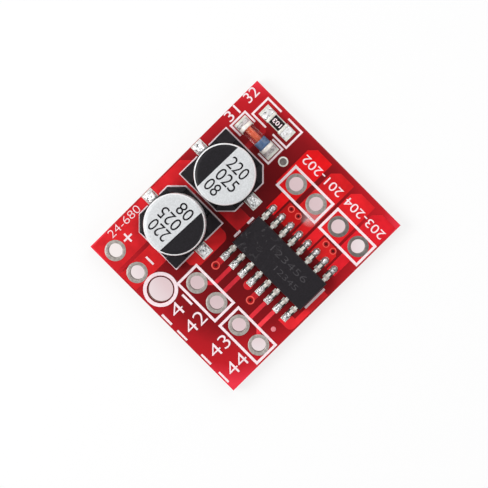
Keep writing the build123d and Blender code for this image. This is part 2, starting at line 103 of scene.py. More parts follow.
def length(name, description, value):
    """A length setting in metres."""
    return FloatProperty(name=name, description=description, unit="LENGTH", min=0, default=value)


class ModuleColours(PropertyGroup):
    # The three mask reds are one red: painted shade deepens it in the middle, painted light pales it
    # at the corners
    mask: colour("Mask", "Red mask over bare laminate near the edges", "#b41a23")
    mask_in_painted_shade: colour("Deep mask", "Red mask over bare laminate in the middle", "#680b11")
    mask_in_painted_light: colour("Bright mask", "Red mask over bare laminate at the corners", "#ea3547")
    ink: colour("Ink", "White ink printed on the board", "#fde8ed")
    tin: colour("Tin", "Tin on the lands and the leads", "#f6f0e8")
    ring: colour("Ring", "Tin round the holes", "#b0a8a2")
    solder: colour("Solder", "Reflowed solder", "#fafafa")
    moulding: colour("Moulding", "Black epoxy of the chip", "#1b171c")
    can: colour("Can", "Film on top of the capacitor cans", "#dfe1e3")
    can_ink: colour("Can ink", "Black print on the capacitor cans", "#151217")
    base: colour("Base", "Black moulding under the capacitor cans", "#181318")


class ModuleSizes(PropertyGroup):
    can_rim: length("Can rim", "Radius of the rounded rim of the capacitor cans", 0.45 * MM)
    can_ink_height: length("Can numbers", "Height of the numbers on the cans", 1.33 * MM)
    label_height: length("Labels", "Height of the numbers at the input holes", 1.45 * MM)


def add_node(tree, kind, inputs=(), **settings):
    """Add a shader node with its settings and its inputs, which come in order or by name.

    An input is a value, a socket, or a node that gives its first output.
    """
    made = tree.nodes.new("ShaderNode" + kind)
    for name, value in settings.items():
        setattr(made, name, value)
    for socket, value in inputs.items() if isinstance(inputs, dict) else enumerate(inputs):
        if isinstance(value, bpy.types.Node):
            value = value.outputs[0]
        if isinstance(value, bpy.types.NodeSocket):
            tree.links.new(value, made.inputs[socket])
        else:
            made.inputs[socket].default_value = value
    return made


def set_stops(ramp, *stops):
    """Give a colour ramp its stops, each a position and a colour."""
    elements = ramp.color_ramp.elements
    while len(elements) < len(stops):
        elements.new(1.0)
    for element, (position, value) in zip(elements, stops):
        element.position = position
        element.color = value
    return ramp


def new_material(name, **constants):
    """A material with one Principled shader, and the shader's constant sockets set by name."""
    material = bpy.data.materials.new(name)
    material.use_nodes = True
    tree = material.node_tree
    shader = tree.nodes["Principled BSDF"]
    for socket, value in constants.items():
        shader.inputs[socket.replace("_", " ")].default_value = value
    place = add_node(tree, "TexCoord").outputs["Object"]
    return material, tree, shader, place


def grain(tree, shader, place, size, depth, detail=2.0):
    """Bump from a fine noise whose lumps are about the given size, and the noise itself."""
    noise = add_node(tree, "TexNoise", {"Vector": place, "Scale": 1 / size, "Detail": detail})
    bump = add_node(tree, "Bump", {"Height": noise, "Distance": depth, "Strength": 1.0})
    tree.links.new(bump.outputs[0], shader.inputs["Normal"])
    return noise


def speckle(tree, shader, factor, dark, light):
    """Colour that varies between two values with a factor near one half."""
    ramp = set_stops(add_node(tree, "ValToRGB", (factor,)), (0.3, dark), (0.7, light))
    tree.links.new(ramp.outputs[0], shader.inputs["Base Color"])
    return ramp


def shade(value, share):
    """A colour made darker or lighter by a share."""
    return tuple(min(1.0, c * share) for c in value[:3]) + (1.0,)


def paint(node, material):
    """Give a CAD node a material."""
    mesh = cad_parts[node].data
    mesh.materials.clear()
    mesh.materials.append(material)


def finish_piece(name, shape, material, slot, *stands_for):
    """Make a finished mesh an object that rides on the module."""
    mesh = bpy.data.meshes.new(name)
    shape.to_mesh(mesh)
    shape.free()
    mesh.materials.append(material)
    piece = bpy.data.objects.new(name, mesh)
    bpy.context.scene.collection.objects.link(piece)
    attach(piece, "root")
    if stands_for:
        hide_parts(*stands_for)
    return piece


def smooth(piece):
    """Shade a piece smooth, except over its crisp edges, and keep wide faces flat."""
    piece.data.shade_smooth()
    piece.data.set_sharp_from_angle(angle=CRISP_EDGE)
    piece.modifiers.new("weighted_normals", "WEIGHTED_NORMAL").keep_sharp = True


def lathe(shape, centre, section, steps):
    """Turn a closed section of radii and heights round an upright axis."""
    verts = [shape.verts.new((centre[0] + radius, centre[1], height)) for radius, height in section]
    edges = [shape.edges.new((a, b)) for a, b in zip(verts, verts[1:] + verts[:1])]
    bmesh.ops.spin(
        shape, geom=verts + edges, cent=(*centre, 0), axis=(0, 0, 1), angle=2 * math.pi,
        steps=steps, use_merge=True,
    )
    bmesh.ops.remove_doubles(shape, verts=shape.verts, dist=0.0001 * MM)
    bmesh.ops.recalc_face_normals(shape, faces=shape.faces)


def softened(node, material, slot, width, segments=2):
    """A CAD node's own shape with its sharp edges rounded, in the place of the node."""
    shape = bmesh.new()
    shape.from_mesh(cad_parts[node].data)
    bmesh.ops.remove_doubles(shape, verts=shape.verts, dist=0.001 * MM)
    bmesh.ops.dissolve_limit(
        shape, angle_limit=math.radians(1), verts=shape.verts, edges=shape.edges
    )
    sharp = [e for e in shape.edges if e.is_manifold and e.calc_face_angle(0) > ROUNDED_EDGE]
    bmesh.ops.bevel(
        shape, geom=sharp, offset=width, segments=segments, profile=0.5, affect="EDGES",
        clamp_overlap=True, material=-1,
    )
    smooth(finish_piece("rounded_" + node, shape, material, slot, node))


# Masked laminate: epoxy mask sprayed over glass cloth, so it is glossy. Its red is painted
# deep in the middle of the board and pale towards its edges and corners: painted shade and
# painted light. Its rings are tin, and its cut walls are bare laminate, whose layers are drawn
# coarser than the real cloth, so that they can be seen.
def mask_over_laminate(colours):
    material, tree, shader, place = new_material(
        "solder_mask_over_laminate", Coat_Weight=0.05, Coat_Roughness=0.1,
        Specular_IOR_Level=0.2, IOR=1.5,
    )
    flat = add_node(tree, "VectorMath", (place, (1, 1, 0)), operation="MULTIPLY")
    reaches = []
    for folds in (WIRE_HOLE_FOLDS, SUPPLY_HOLE_FOLDS):
        folded = flat
        for line in folds:
            folded = add_node(tree, "VectorMath", (folded, line), operation="SUBTRACT")
            folded = add_node(tree, "VectorMath", (folded,), operation="ABSOLUTE")
        reaches.append(add_node(tree, "VectorMath", (folded,), operation="LENGTH").outputs["Value"])
    hole = add_node(tree, "Math", reaches, operation="MINIMUM")

    # Painted shade and light: the red deepens towards the middle and pales towards the corners
    outward = add_node(tree, "VectorMath", (flat, HALF_BOARD), operation="DIVIDE")
    leaning = add_node(
        tree, "VectorMath", (outward, (0.5, 0.5, 0), (-0.06, 0, 0)), operation="MULTIPLY_ADD"
    )
    reach = add_node(tree, "VectorMath", (outward, leaning), operation="DOT_PRODUCT")
    cloud = add_node(tree, "TexNoise", {"Vector": place, "Scale": 1 / (3 * MM), "Detail": 3.0})
    drift = add_node(tree, "Math", (cloud, 0.12, -0.06), operation="MULTIPLY_ADD")
    level = add_node(tree, "Math", (reach.outputs["Value"], drift), operation="ADD")
    painted_light_and_shade_field = set_stops(
        add_node(tree, "ValToRGB", (level,)),
        (0.05, colours.mask_in_painted_shade), (0.38, shade(colours.mask, 0.55)),
        (0.54, shade(colours.mask, 0.95)), (0.72, shade(colours.mask, 1.12)),
        (0.94, colours.mask_in_painted_light),
    )

    aside = add_node(tree, "VectorMath", (place,), operation="ABSOLUTE")
    axes = add_node(tree, "SeparateXYZ", (aside,)).outputs
    rear_copper = 1.0
    for value, test, limit in (
        (hole, "GREATER_THAN", 1.45), (axes[0], "LESS_THAN", 11.7),
        (axes[1], "LESS_THAN", 10.05), (axes[2], "LESS_THAN", 0.01),
    ):
        passed = add_node(tree, "Math", (value, limit * MM), operation=test)
        rear_copper = add_node(tree, "Math", (rear_copper, passed), operation="MULTIPLY")

    # Painted shade: the mask at the mounting hole's edge is painted near black, standing for the
    # shaded hole
    drilled = add_node(tree, "VectorMath", (flat, (*MOUNTING_HOLE, 0)), operation="DISTANCE")
    painted_hole_shade = add_node(tree, "Math", (drilled.outputs["Value"], 1.38 * MM), operation="LESS_THAN")

    normal = add_node(tree, "NewGeometry").outputs["Normal"]
    steepness = add_node(tree, "VectorMath", (normal,), operation="ABSOLUTE")
    level_share = add_node(tree, "SeparateXYZ", (steepness,)).outputs[2]
    wall = add_node(tree, "Math", (level_share, 0.5), operation="LESS_THAN")
    weave = add_node(tree, "TexWave", {
        "Vector": place, "Scale": 1 / (1.2 * MM), "Distortion": 2.0, "Detail Scale": 4.0,
    }, bands_direction="Z")
    laminate = set_stops(
        add_node(tree, "ValToRGB", {"Fac": weave.outputs["Fac"]}),
        (0.2, linear("#9f6f5e")), (0.8, linear("#a87a68")),
    )

    near_hole = add_node(tree, "Math", (hole, RING_RADIUS), operation="LESS_THAN")
    raised = add_node(tree, "Math", (axes[2], BOARD_TOP + 0.02 * MM), operation="GREATER_THAN")
    tinned = add_node(tree, "Math", (raised, near_hole), operation="MAXIMUM")
    tin = set_stops(
        add_node(tree, "ValToRGB", (cloud,)), (0.3, shade(colours.ring, 0.8)), (0.7, colours.ring)
    )

    result = painted_light_and_shade_field
    for share, layer in (
        (rear_copper, linear("#c9242b")), (painted_hole_shade, linear("#3c1014")), (wall, laminate), (tinned, tin),
    ):
        result = add_node(tree, "Mix", {0: share, 6: result, 7: layer}, data_type="RGBA").outputs[2]
    tree.links.new(result, shader.inputs["Base Color"])
    metal = add_node(tree, "Math", (tinned, 0.5), operation="MULTIPLY")
    tree.links.new(metal.outputs[0], shader.inputs["Metallic"])
    rough = add_node(tree, "Math", (wall, 0.35, 0.32), operation="MULTIPLY_ADD")
    tree.links.new(rough.outputs[0], shader.inputs["Roughness"])
    grain(tree, shader, place, 0.5 * MM, 0.012 * MM)
    return material


# Masked copper: the same mask over bright foil, which throws the light back and makes
# the red stronger. A patch just behind the chip is painted darker: painted shade of the cans.
def mask_over_copper(name, code):
    material, tree, shader, place = new_material(
        "solder_mask_over_copper_" + name, Coat_Weight=0.05, Coat_Roughness=0.1,
        Specular_IOR_Level=0.2, Roughness=0.3, IOR=1.5,
    )
    factor = grain(tree, shader, place, 1.2 * MM, 0.015 * MM)
    red = speckle(tree, shader, factor, shade(linear(code), 0.86), shade(linear(code), 1.1))
    # Painted shade: the red darkens towards this point behind the chip
    painted_shade_centre = (1.2 * MM, 2.0 * MM, RING_TOP)
    away = add_node(tree, "VectorMath", (place, painted_shade_centre), operation="DISTANCE")
    level = add_node(tree, "MapRange", {
        "Value": away.outputs["Value"], "From Min": 0.5 * MM, "From Max": 1.3 * MM,
        "To Min": 0.55, "To Max": 1.0,
    })
    result = add_node(tree, "VectorMath", {0: red, "Scale": level}, operation="SCALE")
    tree.links.new(result.outputs[0], shader.inputs["Base Color"])
    return material


# Screen ink: chalky white epoxy ink, matt, thin enough for some red to show through. What
# the screen's mesh leaves in it is drawn coarser than real.
def screen_ink(colours):
    material, tree, shader, place = new_material(
        "screen_ink", Roughness=0.6, Specular_IOR_Level=0.3
    )
    factor = grain(tree, shader, place, 0.25 * MM, 0.01 * MM)
    speckle(tree, shader, factor, shade(colours.ink, 0.88), colours.ink)
    return material


def paint_shade_on_sides(tree, shader, flat, share):
    """Paint shade on the steep sides of a piece, darkening them to a share of its colour."""
    normal = add_node(tree, "NewGeometry").outputs["Normal"]
    height = add_node(tree, "SeparateXYZ", (normal,)).outputs[2]
    level = set_stops(
        add_node(tree, "ValToRGB", (height,)), (0.3, (share, share, share, 1)), (0.8, (1, 1, 1, 1))
    )
    result = add_node(
        tree, "Mix", {0: 1.0, 6: flat, 7: level}, data_type="RGBA", blend_type="MULTIPLY"
    )
    tree.links.new(result.outputs[2], shader.inputs["Base Color"])


# Tin plate: a soft matt metal with a cloudy grain, drawn coarser than real, with painted
# shade on its sheared sides.
def tin_plate(name, value):
    material, tree, shader, place = new_material(name, Metallic=0.25, Roughness=0.4)
    factor = grain(tree, shader, place, 0.22 * MM, 0.02 * MM)
    flat = speckle(tree, shader, factor, shade(value, 0.75), shade(value, 1.15))
    paint_shade_on_sides(tree, shader, flat, 0.45)
    return material


# Wetted tin: tin plate at the chip's feet. Beside each foot it is painted nearly black: a
# painted reflection of the dark mask in the solder that climbs the sides of the foot.
def tin_with_painted_reflection(colours):
    material = tin_plate("wetted_tin_plate_painted_reflection", colours.tin)
    tree = material.node_tree
    shader = tree.nodes["Principled BSDF"]
    place = add_node(tree, "TexCoord").outputs["Object"]
    offset = add_node(tree, "VectorMath", (place, CHIP_MIDDLE), operation="SUBTRACT")
    away = add_node(tree, "VectorMath", (offset,), operation="ABSOLUTE")
    across, along, _ = add_node(tree, "SeparateXYZ", (away,)).outputs
    pitches = add_node(tree, "Math", (along, LEAD_PITCH), operation="DIVIDE")
    share = add_node(tree, "Math", (pitches,), operation="FRACT")
    from_lead = add_node(tree, "Math", (share, 0.5), operation="SUBTRACT")
    beside = add_node(tree, "Math", (from_lead,), operation="ABSOLUTE")
    # Painted reflection: beside each foot the tin darkens to 0.08 of its colour
    level = add_node(tree, "MapRange", {
        "Value": beside, "From Min": 0.11, "From Max": 0.15, "To Min": 1.0, "To Max": 0.08,
    })
    foot = add_node(tree, "Math", (across, 2.84 * MM, 0.27 * MM), operation="COMPARE")
    tin = shader.inputs["Base Color"].links[0].from_socket
    dark = add_node(tree, "VectorMath", {0: tin, "Scale": level}, operation="SCALE")
    result = add_node(tree, "Mix", {0: foot, 6: tin, 7: dark}, data_type="RGBA")
    tree.links.new(result.outputs[2], shader.inputs["Base Color"])
    return material


# Reflowed solder: bright and wet looking, frozen with dimples. Its dimples and steep sides
# are painted dark: a painted reflection of the board.
def reflowed_solder(name, value, dimple, share):
    material, tree, shader, place = new_material(name, Metallic=0.5, Roughness=0.2)
    factor = grain(tree, shader, place, dimple, 0.16 * MM, 1.0)
    flat = set_stops(
        add_node(tree, "ValToRGB", (factor,)),
        (0.31, shade(value, 0.15)), (0.42, shade(value, 0.8)), (0.6, value),
    )
    paint_shade_on_sides(tree, shader, flat, share)
    return material


# Dried flux: a pale, cloudy film that thins out towards its edge.
def dried_flux(centre, radius):
    material, tree, shader, place = new_material("dried_flux", Roughness=0.5)
    factor = grain(tree, shader, place, 0.7 * MM, 0.01 * MM, 0.0)
    speckle(tree, shader, factor, linear("#e8d2d4"), linear("#fbf1f1"))
    away = add_node(tree, "VectorMath", (place, centre), operation="DISTANCE")
    thickness = add_node(tree, "MapRange", {
        "Value": away.outputs["Value"], "From Min": 0.0, "From Max": radius,
        "To Min": 0.75, "To Max": 0.0,
    })
    cloud = add_node(tree, "TexNoise", {"Vector": place, "Scale": 1 / (0.7 * MM), "Detail": 3.0})
    share = add_node(tree, "Math", (thickness, cloud), operation="MULTIPLY")
    tree.links.new(share.outputs[0], shader.inputs["Alpha"])
    return material


# Epoxy moulding: transfer-moulded black epoxy, matt from its fine filler, which is drawn
# coarser than real. Thin smears of flux have dried near its rear end.
def epoxy_moulding(colours):
    material, tree, shader, place = new_material(
        "epoxy_moulding", Roughness=0.55, Specular_IOR_Level=0.25
    )
    factor = grain(tree, shader, place, 0.16 * MM, 0.012 * MM, 4.0)
    black = set_stops(
        add_node(tree, "ValToRGB", (factor,)),
        (0.3, shade(colours.moulding, 0.75)), (0.7, shade(colours.moulding, 1.35)),
    )
    flow = add_node(tree, "TexNoise", {
        "Vector": place, "Scale": 1 / (0.8 * MM), "Distortion": 1.2,
    })
    ridge = set_stops(
        add_node(tree, "ValToRGB", (flow,)),
        (0.6, (0, 0, 0, 1)), (0.64, (1, 1, 1, 1)), (0.68, (0, 0, 0, 1)),
    )
    rear = add_node(tree, "MapRange", {
        "Value": add_node(tree, "SeparateXYZ", (place,)).outputs[1],
        "From Min": -4.5 * MM, "From Max": 0.0, "To Min": 0.0, "To Max": 0.2,
    })
    share = add_node(tree, "Math", (ridge, rear), operation="MULTIPLY")
    result = add_node(
        tree, "Mix", {0: share, 6: black, 7: linear("#8d8a8c")}, data_type="RGBA"
    )
    tree.links.new(result.outputs[2], shader.inputs["Base Color"])
    return material


# Laser mark: the moulding's skin burnt a little paler, and rougher than the rest. Its grit
# is drawn coarser than real.
def laser_mark():
    material, tree, shader, place = new_material("laser_marked_epoxy", Roughness=0.8)
    factor = grain(tree, shader, place, 0.12 * MM, 0.012 * MM, 4.0)
    speckle(tree, shader, factor, linear("#2c292d"), linear("#454246"))
    return material


# Heat-proof nylon: moulded black plastic with a slight sheen. The texture of its mould is
# drawn coarser than real.
def nylon_base(colours):
    material, tree, shader, place = new_material(
        "heatproof_nylon", Roughness=0.42, Specular_IOR_Level=0.3
    )
    factor = grain(tree, shader, place, 0.3 * MM, 0.012 * MM)
    speckle(tree, shader, factor, shade(colours.base, 0.8), shade(colours.base, 1.25))
    return material


# Drawn aluminium: a satin can. Its bare rim is painted near white and less metallic than its
# walls: its own bare metal, with a painted highlight. Its top is filmed silver grey with a fine
# sparkle, drawn coarser than real, and a black printed segment marks the minus side.
def drawn_aluminium(name, colours, centre, radius, facing, chord, tilt, top):
    material, tree, shader, place = new_material("drawn_aluminium_" + name, Specular_IOR_Level=0.3)
    offset = add_node(tree, "VectorMath", (place, centre), operation="SUBTRACT")
    flat = add_node(tree, "VectorMath", (offset, (1, 1, 0)), operation="MULTIPLY")
    away = add_node(tree, "VectorMath", (flat,), operation="LENGTH").outputs["Value"]
    plus_side = (tilt * facing, facing, 0)
    along = add_node(tree, "VectorMath", (flat, plus_side), operation="DOT_PRODUCT")
    height = add_node(tree, "SeparateXYZ", (place,)).outputs[2]
    wall_top = top - 0.4 * MM
    wall = add_node(tree, "Math", (height, wall_top), operation="LESS_THAN")
    above = add_node(tree, "Math", (height, wall_top), operation="GREATER_THAN")
    # The bare ring left round the film's edge carries the rim's painted highlight
    within = add_node(tree, "Math", (away, radius - 0.14 * MM), operation="LESS_THAN")
    filmed = add_node(tree, "Math", (within, above), operation="MULTIPLY")
    minus = add_node(tree, "Math", (along.outputs["Value"], -chord), operation="LESS_THAN")
    inked = add_node(tree, "Math", (minus, filmed), operation="MULTIPLY")

    sparkle = add_node(tree, "TexNoise", {
        "Vector": place, "Scale": 1 / (0.14 * MM), "Detail": 2.0,
    })
    bare_metal_and_highlight, film, ink = (
        set_stops(add_node(tree, "ValToRGB", (sparkle,)), (0.35, dark), (0.65, light))
        for dark, light in (
            (linear("#ececee"), linear("#ffffff")), (shade(colours.can, 0.86), colours.can),
            (shade(colours.can_ink, 0.7), shade(colours.can_ink, 1.5)),
        )
    )
    result = bare_metal_and_highlight
    for share, layer in ((filmed, film), (inked, ink)):
        result = add_node(tree, "Mix", {0: share, 6: result, 7: layer}, data_type="RGBA").outputs[2]
    tree.links.new(result, shader.inputs["Base Color"])
    metal = rough = 0.0
    for share, metal_part, rough_part in (
        (wall, 0.5, 0.18), (filmed, -0.1, 0.22), (inked, -0.2, 0.0), (1.0, 0.3, 0.26),
    ):
        metal = add_node(tree, "Math", (share, metal_part, metal), operation="MULTIPLY_ADD")
        rough = add_node(tree, "Math", (share, rough_part, rough), operation="MULTIPLY_ADD")
    tree.links.new(metal.outputs[0], shader.inputs["Metallic"])
    tree.links.new(rough.outputs[0], shader.inputs["Roughness"])
    bump = add_node(tree, "Bump", {"Height": sparkle, "Distance": 0.002 * MM})
    tree.links.new(bump.outputs[0], shader.inputs["Normal"])
    return material


# Clear glass: drawn tube, smooth and bright at its edges. Light passes to what it holds.
# Its IOR is under that of glass, so that its core looks as narrow as the real one.
def clear_glass():
    material, tree, shader, place = new_material(
        "clear_drawn_glass", Roughness=0.04, IOR=1.25, Transmission_Weight=1.0
    )
    grain(tree, shader, place, 1.5 * MM, 0.004 * MM)
    shader.inputs["Base Color"].default_value = linear("#fff4f2")
    path = add_node(tree, "LightPath").outputs
    inward = add_node(
        tree, "Math", (path["Is Shadow Ray"], path["Is Diffuse Ray"]), operation="MAXIMUM"
    )
    clear = add_node(tree, "BsdfTransparent", (linear("#fff4f2"),))
    mix = add_node(tree, "MixShader", (inward, shader, clear))
    tree.links.new(mix.outputs[0], tree.nodes["Material Output"].inputs["Surface"])
    return material


# Glaze, ink and enamel: smooth vitreous coats that differ only in colour. The same coat also draws
# the dark discs of painted shade in the via holes and the test point's dimple.
def vitreous_coat(name, dark, light):
    material, tree, shader, place = new_material(name, Roughness=0.25, Coat_Weight=0.2)
    factor = grain(tree, shader, place, 0.3 * MM, 0.008 * MM)
    speckle(tree, shader, factor, linear(dark), linear(light))
    return material


# Copper-clad plug: copper orange in the glass, with a tinned head outside it.
def copper_clad_plug(colours, glass_low, glass_high):
    material, tree, shader, place = new_material(
        "copper_clad_plug", Metallic=0.2, Roughness=0.32
    )
    along = add_node(tree, "SeparateXYZ", (place,)).outputs[1]
    after = add_node(tree, "Math", (along, glass_low), operation="GREATER_THAN")
    before = add_node(tree, "Math", (along, glass_high), operation="LESS_THAN")
    inside = add_node(tree, "Math", (after, before), operation="MULTIPLY")
    factor = grain(tree, shader, place, 0.3 * MM, 0.03 * MM)
    copper = set_stops(
        add_node(tree, "ValToRGB", (factor,)), (0.3, linear("#ee6a48")), (0.7, linear("#ff9672"))
    )
    result = add_node(tree, "Mix", {0: inside, 6: colours.tin, 7: copper}, data_type="RGBA")
    tree.links.new(result.outputs[2], shader.inputs["Base Color"])
    return material


def settings():
    """The module's colours and sizes."""
    scene = bpy.context.scene
    return scene.module_colours, scene.module_sizes


# The red of the mask over each piece of copper: partly its own red, and partly painted light, which
# makes it paler towards the board's edges
COPPER_FIELDS = {
    "supply_pour": "#d7232a", "ground_pour": "#d52227", "input_trace_1": "#d42c38",
    "input_trace_2": "#c82b37", "input_trace_3": "#df303c", "input_trace_4": "#f43e48",
    "chip_supply_stubs": "#c8222a", "spare_pin_copper": "#c8222a", "corner_pour": "#e72a32",
    "motor_field_1": "#de1f2b", "motor_field_2": "#e02128", "motor_field_3": "#d71e22",
    "motor_field_4": "#e8161b", "ground_block_front": "#d82224", "ground_block_rear": "#ba1617",
    "diode_trace": "#b51c25",
}


class MODULE_OT_board(Operator):
    """Finish the board, the copper under its mask, its lands and its printed legend"""

    bl_idname = "module.board"
    bl_label = "Board"

    def execute(self, context):
        colours, _ = settings()
        paint("circuit_board", mask_over_laminate(colours))
        for name, code in COPPER_FIELDS.items():
            softened(name, mask_over_copper(name, code), "masked_copper", 0.02 * MM)
        ink = screen_ink(colours)
        paint("legend_print", ink)
        tin = tin_plate("matt_tin_plate", colours.tin)
        softened("chip_lands", tin_with_painted_reflection(colours), "tinned_copper", 0.02 * MM)
        for name in ("test_pad", "capacitor_lands", "diode_lands", "resistor_lands"):
            softened(name, tin, "tinned_copper", 0.02 * MM)

        hole, ring = WIRE_HOLE_RADIUS, RING_RADIUS
        section = (
            (hole, RING_TOP - 0.05 * MM), (hole, RING_TOP + 0.01 * MM),
            (hole + 0.05 * MM, RING_TOP + 0.025 * MM), (ring - 0.06 * MM, RING_TOP + 0.025 * MM),
            (ring + 0.005 * MM, RING_TOP - 0.01 * MM), (ring + 0.01 * MM, RING_TOP - 0.05 * MM),
        )
        # The rings at the motor holes are the ring tin painted darker, the front ones most: painted
        # reflection of dark surroundings
        for name, places, share in (
            ("input", SUPPLY_HOLES + [(INPUT_COLUMN, y) for y in WIRE_ROWS], 1.0),
            ("rear", [(MOTOR_COLUMN, y) for y in WIRE_ROWS[2:]], 0.8),
            ("front", [(MOTOR_COLUMN, y) for y in WIRE_ROWS[:2]], 0.42),
        ):
            shape = bmesh.new()
            for place in places:
                lathe(shape, place, section, 64)
            reflection_toned_tin = tin_plate(f"ring_tin_painted_reflection_{name}", shade(colours.ring, share))
            smooth(finish_piece(f"{name}_hole_rings", shape, reflection_toned_tin, "tinned_copper"))

        shape = bmesh.new()
        low, high = BOARD_TOP + 0.01 * MM, BOARD_TOP + 0.07 * MM
        inner, outer = mm(1.44, 1.815)
        lathe(shape, MOUNTING_HOLE, ((inner, low), (inner, high), (outer, high), (outer, low)), 96)
        finish_piece("mounting_hole_ring", shape, ink, "white_ink")

        centre, radius = Vector((6.1 * MM, -3.3 * MM, RING_TOP + 0.08 * MM)), 1.1 * MM
        shape = bmesh.new()
        bmesh.ops.create_circle(shape, cap_ends=True, segments=48, radius=radius)
        bmesh.ops.translate(shape, verts=shape.verts, vec=centre)
        finish_piece("flux_residue", shape, dried_flux(centre, radius), "red_board")
        return {"FINISHED"}


def printed(name, words, centre, size, turn, levels, weight, material, slot):
    """Numbers printed flat, fitted to a width and a height and turned about Z.

    The levels are the print's lowest and highest, and the weight makes its strokes thicker.
    """
    curve = bpy.data.curves.new(name, "FONT")
    curve.body = words
    curve.extrude = 0.5
    curve.offset = weight
    curve.resolution_u = 6
    source = bpy.data.objects.new(name + "_source", curve)
    bpy.context.scene.collection.objects.link(source)
    evaluated = source.evaluated_get(bpy.context.evaluated_depsgraph_get())
    mesh = bpy.data.meshes.new_from_object(evaluated)
    shape = bmesh.new()
    shape.from_mesh(mesh)
    bpy.data.objects.remove(source)
    bpy.data.meshes.remove(mesh)
    corners = [v.co for v in shape.verts]
    least, most = Vector(map(min, *corners)), Vector(map(max, *corners))
    span = most - least
    low, high = levels
    bmesh.ops.translate(shape, verts=shape.verts, vec=-(least + most) / 2)
    bmesh.ops.scale(
        shape, verts=shape.verts, vec=(size[0] / span.x, size[1] / span.y, (high - low) / span.z)
    )
    place = Matrix.Translation((*centre, (low + high) / 2)) @ Matrix.Rotation(turn, 4, "Z")
    bmesh.ops.transform(shape, matrix=place, verts=shape.verts)
    finish_piece(name, shape, material, slot)


def bars(name, places, levels, material, slot):
    """Printed bars, each given by its centre and its two sizes."""
    low, high = levels
    shape = bmesh.new()
    for x, y, across, along in places:
        made = bmesh.ops.create_cube(shape, size=1.0)["verts"]
        bmesh.ops.scale(shape, verts=made, vec=(across, along, high - low))
        bmesh.ops.translate(shape, verts=made, vec=(x, y, (low + high) / 2))
    finish_piece(name, shape, material, slot)


class MODULE_OT_lettering(Operator):
    """Print the signs at the supply holes and plain numbers at the other holes and parts"""

    bl_idname = "module.lettering"
    bl_label = "Printed numbers"

    def execute(self, context):
        _, sizes = settings()
        ink = bpy.data.materials["screen_ink"]
        levels = BOARD_TOP + 0.005 * MM, BOARD_TOP + 0.06 * MM
        bars("supply_signs", (
            mm(-8.73, 8.43, 1.1, 0.2), mm(-8.73, 8.755, 0.2, 0.45), mm(-8.73, 8.105, 0.2, 0.45),
            mm(-8.8, 5.15, 0.22, 1.1),
        ), levels, ink, "white_ink")
        input_size = 3.2 * MM, sizes.label_height
        for kind, words, place, size, turn, weight in (
            ("input_label_", "141", mm(-10.38, -0.42), input_size, 0.0, -0.008),
            ("input_label_", "142", mm(-10.38, -2.69), input_size, 0.0, -0.008),
            ("input_label_", "143", mm(-10.38, -6.21), input_size, 0.0, -0.008),
            ("input_label_", "144", mm(-10.38, -8.79), input_size, 0.0, -0.008),
            ("motor_label_", "201-202", mm(10.0, -1.23), mm(5.4, 0.96), math.pi / 2, 0.0),
            ("motor_label_", "203-204", mm(10.0, -7.38), mm(5.4, 0.96), math.pi / 2, 0.0),
            ("edge_number", "24-680", mm(-7.83, 9.88), mm(4.2, 0.86), 0.0, -0.015),
            ("part_label_", "31", mm(7.93, 9.92), mm(1.55, 1.12), 0.0, 0.0),
            ("part_label_", "32", mm(10.7, 9.92), mm(1.55, 1.12), 0.0, 0.0),
        ):
            name = kind + words if kind.endswith("_") else kind
            printed(name, words, place, size, turn, levels, weight, ink, "white_ink")
        return {"FINISHED"}


def turned(name, places, section, material, slot):
    """The same turned shape at several places, from a section in mm above the board."""
    shape = bmesh.new()
    for place in places:
        lathe(shape, place, [
            (max(radius, 0.0005) * MM, BOARD_TOP + height * MM) for radius, height in section
        ], 32)
    smooth(finish_piece(name, shape, material, slot))


class MODULE_OT_vias(Operator):
    """Add the small plated holes that join the board's two sides, and the test point's dimple"""

    bl_idname = "module.vias"
    bl_label = "Vias"

    def execute(self, context):
        supply = [mm(-4.31, 0.005), mm(-4.31, -5.075)]
        ground = [mm(5.32, y) for y in (-1.39, -2.41, -6.47, -7.49)]
        rim = mask_over_copper("via_rims", "#f0584e")
        slope = mask_over_copper("via_slopes", "#9c1018")
        # The dark discs in the vias are painted shade in their holes
        dark = vitreous_coat("via_hole_shade", "#2a0a08", "#4c1a14")
        for name, places, outer in (("supply_via", supply, 0.45), ("ground_via", ground, 0.36)):
            inner, bore = outer * 0.7, outer * 0.34
            turned(name + "_rims", places, (
                (outer, 0.0), (outer, 0.05), (outer * 0.92, 0.07), (outer * 0.78, 0.07),
                (inner, 0.05), (inner, 0.0),
            ), rim, "masked_copper")
            turned(name + "_slopes", places, (
                (inner, 0.0), (inner, 0.058), (bore, 0.055), (bore, 0.0),
            ), slope, "masked_copper")
            turned(name + "_holes", places, (
                (bore, 0.0), (bore, 0.05), (0.0, 0.05), (0.0, 0.0),
            ), dark, "red_board")
        turned("covered_via", [mm(-4.73, -8.885)], (
            (0.27, 0.0), (0.25, 0.03), (0.14, 0.05), (0.0, 0.055), (0.0, 0.0),
        ), mask_over_copper("covered_via", "#e08088"), "masked_copper")
        # The test point's dimple is painted dark grey: painted shade
        turned("test_point_dimple", [mm(8.17, 2.69)], (
            (0.38, 0.05), (0.36, 0.08), (0.24, 0.068), (0.1, 0.08), (0.0, 0.08), (0.0, 0.05),
        ), vitreous_coat("test_point_shade", "#6f6864", "#8d8581"), "tinned_copper")
        return {"FINISHED"}


